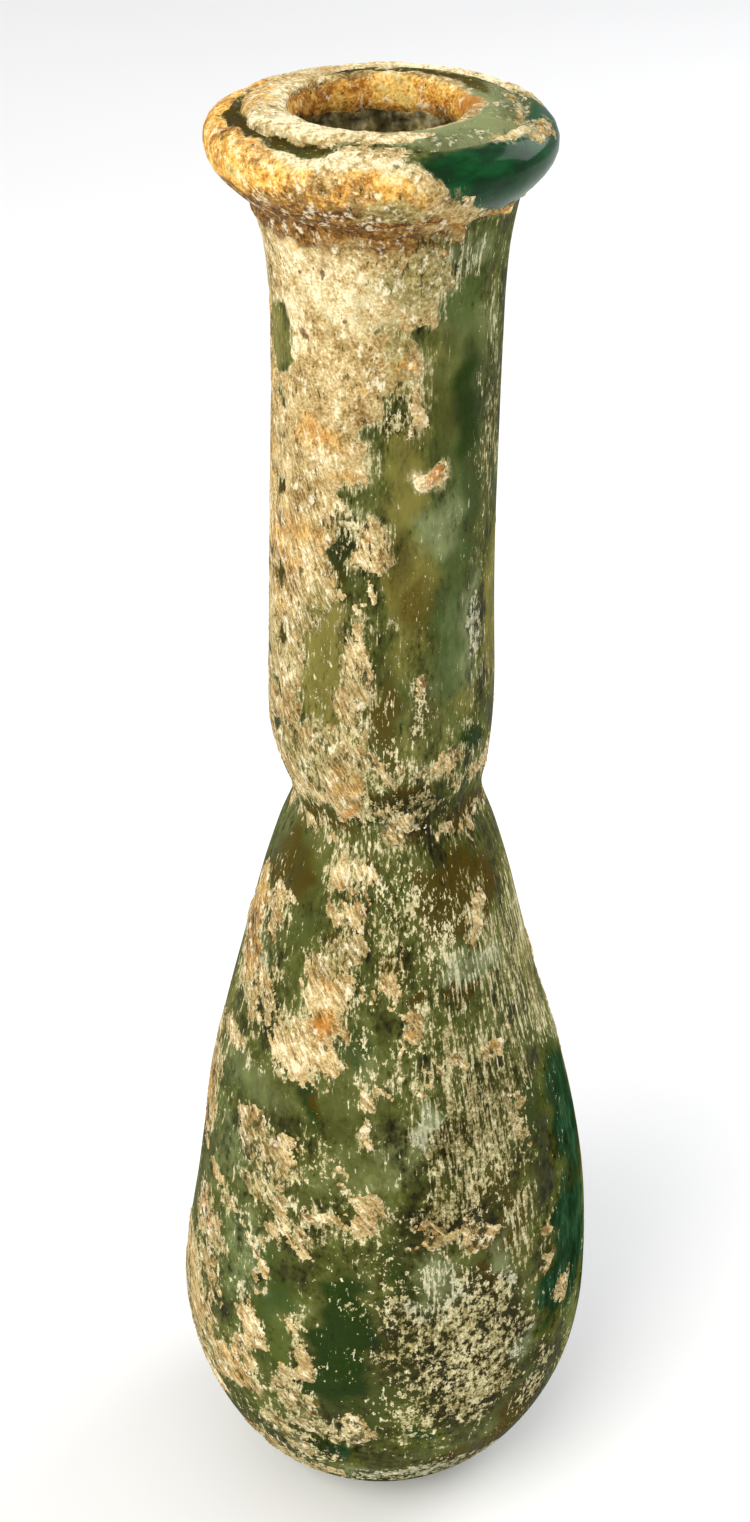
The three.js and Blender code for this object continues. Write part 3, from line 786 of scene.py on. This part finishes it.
def crust_finish():
    """Sandy crust in cream, ochre, gold and brown: strokes, flecks, worn spots, pits, painted shade and
    highlight.
    """
    material, tree, place = finish_named("earth crust")
    skin = kept(tree, "skin", "Vector")
    slant = kept(tree, "slant", "Vector")
    tones = {name: kept(tree, name) for name in CRUST_TONES}
    strokes = kept(tree, "breakup").rise(0.3, 0.62)
    lumps = grain(place, 0.5, 4, 0.62, seed=11)
    fibres = grain(slant, 2.2, 4, 0.72, stretch=(1, 1, 0.55), seed=12) * strokes
    fibres = fibres + grain(place, 2.4, 4, 0.72, seed=19) * (1 - strokes)
    sand = grain(place, 5.0, 2, 0.6, seed=13)
    pits = grain(skin, 1.2, 2, 0.5, stretch=(1, 1, 0.8), seed=14).rise(0.66, 0.71)
    cloud = grain(skin, 0.22, 3, 0.6, seed=16)
    veil = grain(skin, 0.3, 4, 0.6, seed=17)
    threads = grain(slant, 5.0, 1, 0.5, stretch=(1, 1, 0.16), seed=18)
    grit = lumps * 0.4 + fibres * 0.4 + sand * 0.2
    # The pale tone lifts the colour: paler crust, and a painted highlight on the lit top and shoulder of the
    # rim and the lit left of the neck.
    colour = blended(
        lumps * 0.3 + veil * 0.2 + fibres * 0.45 + sand * 0.25 - 0.1 + tones["pale"] * 0.05,
        (0.41, 112, 84, 38), (0.455, 150, 124, 72), (0.5, 182, 157, 102), (0.545, 212, 188, 134),
        (0.6, 246, 234, 192),
    )
    ochre = (tones["ochre"] + (lumps - 0.5) * 3.2 + (fibres - 0.5) * 1.6).rise(0.35, 1.1)
    shown = blended(grit, (0.43, 100, 58, 10), (0.5, 166, 118, 48), (0.57, 228, 190, 114))
    colour = mixed(ochre * 0.85, colour, shown)
    gold = (tones["gold"] + (lumps - 0.5) * 3.0 + (veil - 0.5) * 2.0).rise(0.3, 1.0)
    shown = blended(grit, (0.43, 166, 98, 18), (0.5, 230, 168, 66), (0.57, 255, 228, 136))
    colour = mixed(gold * 0.85, colour, shown)
    dim = tones["open"] * 0.8 - tones["pale"] * 0.3 + (lumps - 0.5) * 1.5 + (cloud - 0.5) * 3
    shown = blended(fibres, (0.42, 96, 86, 44), (0.58, 184, 170, 122))
    colour = mixed(dim.rise(0.1, 0.9) * strokes * 0.5, colour, shown)
    colour = mixed((tones["rust"] + (fibres - 0.5) * 2.5).rise(0.4, 1.1) * 0.8, colour, rgb(190, 118, 30))
    # Painted shade as well as brown soil: this darkens the crust under the rim's roll and below the crust's
    # edge in the mouth.
    brown = (tones["brown"] + (fibres - 0.5) * 1.8 + (lumps - 0.5) * 3.4 + 0.1).rise(0.35, 1.0)
    shown = blended(fibres, (0.4, 54, 22, 0), (0.5, 106, 66, 12), (0.62, 184, 134, 58))
    colour = mixed(brown * 0.9, colour, shown)
    thin = tones["thin"] + kept(tree, "depth").rise(0.6, -0.1) * 0.5 + (fibres - 0.5) * 2 + (veil - 0.5) * 3
    shown = blended(fibres, (0.4, 104, 96, 44), (0.5, 146, 136, 80), (0.6, 190, 178, 124))
    colour = mixed(thin.rise(0.35, 1.1) * 0.75, colour, shown)
    colour = mixed(threads.rise(0.56, 0.72) * strokes * 0.5, colour, rgb(250, 238, 200))
    colour = mixed(threads.rise(0.44, 0.3) * strokes * 0.4, colour, rgb(112, 84, 38))
    flecks = grain(skin, 1.1, 4, 0.72, stretch=(1, 1, 0.8), seed=22) * 0.65 + fibres * 0.35
    colour = mixed(flecks.rise(0.53, 0.6) * 0.6, colour, rgb(253, 246, 216))
    colour = mixed(flecks.rise(0.46, 0.4) * 0.55, colour, rgb(146, 108, 50))
    worn = grain(skin, 2.4, 3, 0.7, stretch=(1, 1, 0.5), seed=15) - tones["open"] * 0.16
    worn = worn + (lumps - 0.5) * 0.4
    shown = blended(lumps, (0.42, 44, 48, 10), (0.58, 92, 94, 40))
    colour = mixed(worn.rise(0.37, 0.29) * 0.9, colour, shown)
    colour = mixed(pits * 0.75, colour, rgb(78, 60, 22))
    normal = bumped(1.0, 0.16, fibres + sand * 0.5 + lumps * 0.5 - pits * 0.5)
    surface = surface_of(
        tree,
        {"Base Color": colour, "Roughness": 0.86 + sand * 0.1, "IOR": 1.45, "Specular IOR Level": 0.25,
         "Normal": normal},
    )
    ended(tree, surface)
    return material


def noted(tree, name, kind="FLOAT"):
    """A value kept on the mesh, read back in a geometry tree."""
    return Wire.node(tree, "GeometryNodeInputNamedAttribute", {"data_type": kind}, {"Name": name})


def moved(geometry, offset, selection=True):
    """A geometry with its selected points moved by a vector wire."""
    sockets = {"Geometry": geometry, "Selection": selection, "Offset": offset}
    return Wire.node(geometry.tree, "GeometryNodeSetPosition", sockets=sockets)


def crust_tree():
    """Grows crust on a sheet of wall: roughens the edges of its patches, drops what lies outside them,
    and raises the rest off a back that stays just under the glass."""
    tree, given = tree_with(
        "crust growth",
        {"Wall": "Geometry", "Thickness": "Float", "Sunk": "Float", "Seed": "Float", "Finish": "Material"},
    )
    seed = given["Seed"]
    breakup = noted(tree, "breakup")
    ragged = grain(noted(tree, "skin", "FLOAT_VECTOR"), 0.4, 4, 0.65, stretch=(1, 1, 0.8), seed=seed)
    crumbly = grain(noted(tree, "slant", "FLOAT_VECTOR"), 1.7, 3, 0.72, stretch=(1, 1, 0.42), seed=seed + 1)
    gritty = grain(Wire.node(tree, "GeometryNodeInputPosition"), 3.5, 1, 0.5, seed=seed + 2)
    depth = noted(tree, "cover") + breakup * ((ragged - 0.5) * 6 + (crumbly - 0.5) * 4.5)
    sheet = store(given["Wall"], "depth", depth)
    sheet = store(sheet, "outward", Wire.node(tree, "GeometryNodeInputNormal"), "FLOAT_VECTOR")
    outside = Wire.node(tree, "FunctionNodeCompare", {"operation": "LESS_THAN"}, {0: depth, 1: DROPPED_BELOW})
    sockets = {"Geometry": sheet, "Selection": outside}
    sheet = Wire.node(tree, "GeometryNodeDeleteGeometry", {"domain": "FACE"}, sockets)
    sockets = {"Mesh": sheet, "Offset Scale": 0.0, "Individual": False}
    lifted = Wire.node(tree, "GeometryNodeExtrudeMesh", sockets=sockets)
    # The back of the shell has its own strip at the foot of the map.
    back = Wire.node(tree, "GeometryNodeFlipFaces", sockets={0: sheet})
    spread = noted(tree, "OFBake", "FLOAT_VECTOR")
    sockets = {0: spread, 1: BACK_SCALE, 2: BACK_SHIFT}
    spread = Wire.node(tree, "ShaderNodeVectorMath", {"operation": "MULTIPLY_ADD"}, sockets)
    back = store(back, "OFBake", spread, "FLOAT2", "CORNER")
    depth = noted(tree, "depth")
    outward = noted(tree, "outward", "FLOAT_VECTOR")
    full = depth.rise(-0.1, 0.6)
    rough = ((crumbly - 0.5) * 1.2 + (gritty - 0.5) * 0.5) * breakup
    lumpy = 0.35 + ragged * 0.5 + depth.rise(0.2, 2.2) * 0.4 + rough
    rise = given["Thickness"] * full * lumpy - (1 - full) * given["Sunk"] * 0.4
    down = outward.scaled(given["Sunk"] * -1)
    foot = Wire.node(tree, "FunctionNodeBooleanMath", {"operation": "NOT"}, {0: lifted.also("Top")})
    front = moved(lifted, outward.scaled(rise), lifted.also("Top"))
    front = moved(front, down, foot)
    back = moved(back, down)
    both = tree.nodes.new("GeometryNodeJoinGeometry")
    for part in (front, back):
        tree.links.new(part.socket, both.inputs[0])
    sockets = {"Geometry": Wire(both.outputs[0]), "Distance": 1e-6}
    finished(tree, Wire.node(tree, "GeometryNodeMergeByDistance", sockets=sockets), given["Finish"])
    return tree


def crust_on(name, levels, rows, columns, patches, holes, thickness, seed):
    """One shell of crust, on the wall between two levels, with its thickness in millimetres."""
    sheet = turned_wall(name + "_wall", share_at(levels[0]), share_at(levels[1]), rows, columns)
    places = readings(sheet.data)
    keep(sheet.data, "cover", cover_of(patches, holes, *places))
    keep(sheet.data, "breakup", breakup_at(*places))
    for label, spots in CRUST_TONES.items():
        keep(sheet.data, label, tone(spots, *places))
    base = sheet.data
    bpy.data.objects.remove(sheet)
    values = {"Thickness": thickness * MM, "Sunk": SUNK, "Seed": seed, "Finish": earth}
    shell = grown(name, growth, values, base)
    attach(shell, "root")


earth = crust_finish()
growth = crust_tree()
near_rim = RIM_CRUST + NECK_CRUST
near_body = BODY_CRUST + NECK_CRUST
# The levels where one shell ends and the next begins, from the foot up and over into the mouth.
foot_end, throat, collar, mouth_end = 2.0, 71.4, RIM_ROOT - 1.2, 136.4
crust_on("crust_rim", (collar, mouth_end), 100, 340, near_rim, RIM_HOLES + NECK_HOLES, 0.34, 3.0)
crust_on("crust_neck", (throat, collar), 205, 220, near_rim + BODY_CRUST, NECK_HOLES, 0.2, 7.0)
crust_on("crust_body", (foot_end, throat), 290, 390, near_body, BODY_HOLES, 0.13, 11.0)


# ---------------------------------------------------------------------------------------------
# The floor, the light and the camera. A plain pale floor, one broad soft light high on the left
# in front, a weaker one on the right behind, and a pale surround. The camera looks down on the
# bottle from close by.
# ---------------------------------------------------------------------------------------------
low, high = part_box("bottle")
tall = high.z - low.z


FLOOR_SIZE = 160 * tall


def floor_finish():
    material, tree, place = finish_named("floor")
    colour = mixed(grain(place, 0.01, 2, seed=21), rgb(247, 246, 244), rgb(250, 250, 249))
    ended(tree, surface_of(tree, {"Base Color": colour, "Roughness": 0.6}))
    return material


bpy.ops.mesh.primitive_plane_add(size=FLOOR_SIZE, location=(0, 0, low.z))
floor = bpy.context.object
floor.name = "floor"
floor.data.materials.append(floor_finish())


def soft_light(name, place, size, power, colour):
    """A square light aimed at the bottle's middle, with its place and size in bottle heights."""
    light = bpy.data.lights.new(name, "AREA")
    light.size = size * tall
    light.energy = power
    light.color = colour
    lamp = bpy.data.objects.new(name, light)
    bpy.context.scene.collection.objects.link(lamp)
    lamp.location = [tall * c for c in place]
    aim = high.lerp(low, 0.5) - lamp.location
    lamp.rotation_euler = aim.to_track_quat("-Z", "Y").to_euler()


soft_light("window", place=(-3.0, -3.6, 4.6), size=4.2, power=4.9, colour=(1.0, 0.97, 0.91))
soft_light("bounce", place=(3.6, 2.2, 3.0), size=3.0, power=1.8, colour=(0.97, 0.99, 1.0))

world = bpy.data.worlds.new("surround")
world.use_nodes = True
world.node_tree.nodes["Background"].inputs["Color"].default_value = (0.95, 0.96, 1.0, 1)
world.node_tree.nodes["Background"].inputs["Strength"].default_value = 0.7
bpy.context.scene.world = world
bpy.context.scene.view_settings.view_transform = "Standard"

# Where the camera stands, in bottle heights, and how far it is turned up from straight down.
CAMERA_AT = (-0.0072, -1.1704, 1.3312)
CAMERA_TURN = 57.51
LENS = 52.04

camera = bpy.data.cameras.new("camera")
camera.sensor_width = 36
camera.lens = LENS
camera.clip_start = 0.01
viewer = bpy.data.objects.new("camera", camera)
viewer.location = [c * tall for c in CAMERA_AT]
viewer.rotation_euler = (math.radians(CAMERA_TURN), 0, 0)
bpy.context.scene.collection.objects.link(viewer)
bpy.context.scene.camera = viewer
